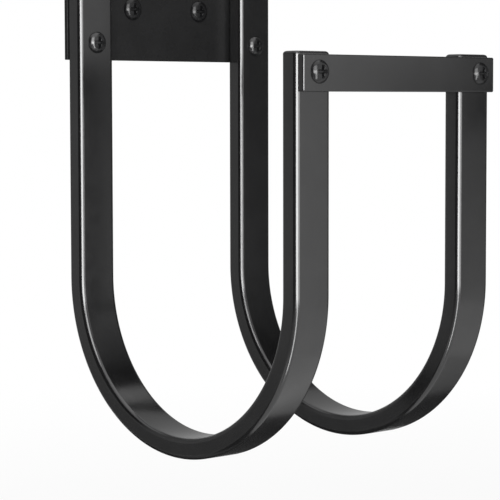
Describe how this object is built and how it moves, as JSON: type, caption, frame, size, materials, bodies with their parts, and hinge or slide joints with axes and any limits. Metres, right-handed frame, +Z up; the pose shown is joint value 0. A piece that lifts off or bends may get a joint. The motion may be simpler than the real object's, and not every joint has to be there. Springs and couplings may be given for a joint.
{
  "type": "hose hanger",
  "caption": "Wall hose hanger of bent rectangular-tube U hooks screwed to a flat wall plate and joined across their front legs by a flat bar.",
  "frame": {"origin": "centre of the wall plate's back face, midway between the wall screws", "axes": "+Z up, +Y into the wall along the wall screws, +X to the right for someone facing the wall"},
  "size_m": [0.1596, 0.2511, 0.3027],
  "materials": {
    "black_coat": "semi-gloss black powder coat on steel",
    "black_plastic": "satin black moulded plastic",
    "black_screw": "glossy black plated steel",
    "plain_steel": "plain zinc-plated steel"
  },
  "bodies": {
    "root": {"wall_plate": "black_coat", "left_hook": "black_coat", "right_hook": "black_coat", "front_crossbar": "black_coat", "front_left_end_cap": "black_plastic", "front_right_end_cap": "black_plastic", "rear_left_end_cap": "black_plastic", "rear_right_end_cap": "black_plastic", "hook_screws": "black_screw", "crossbar_screws": "black_screw", "wall_screws": "black_screw", "crossbar_nuts": "plain_steel"}
  },
  "joints": []
}
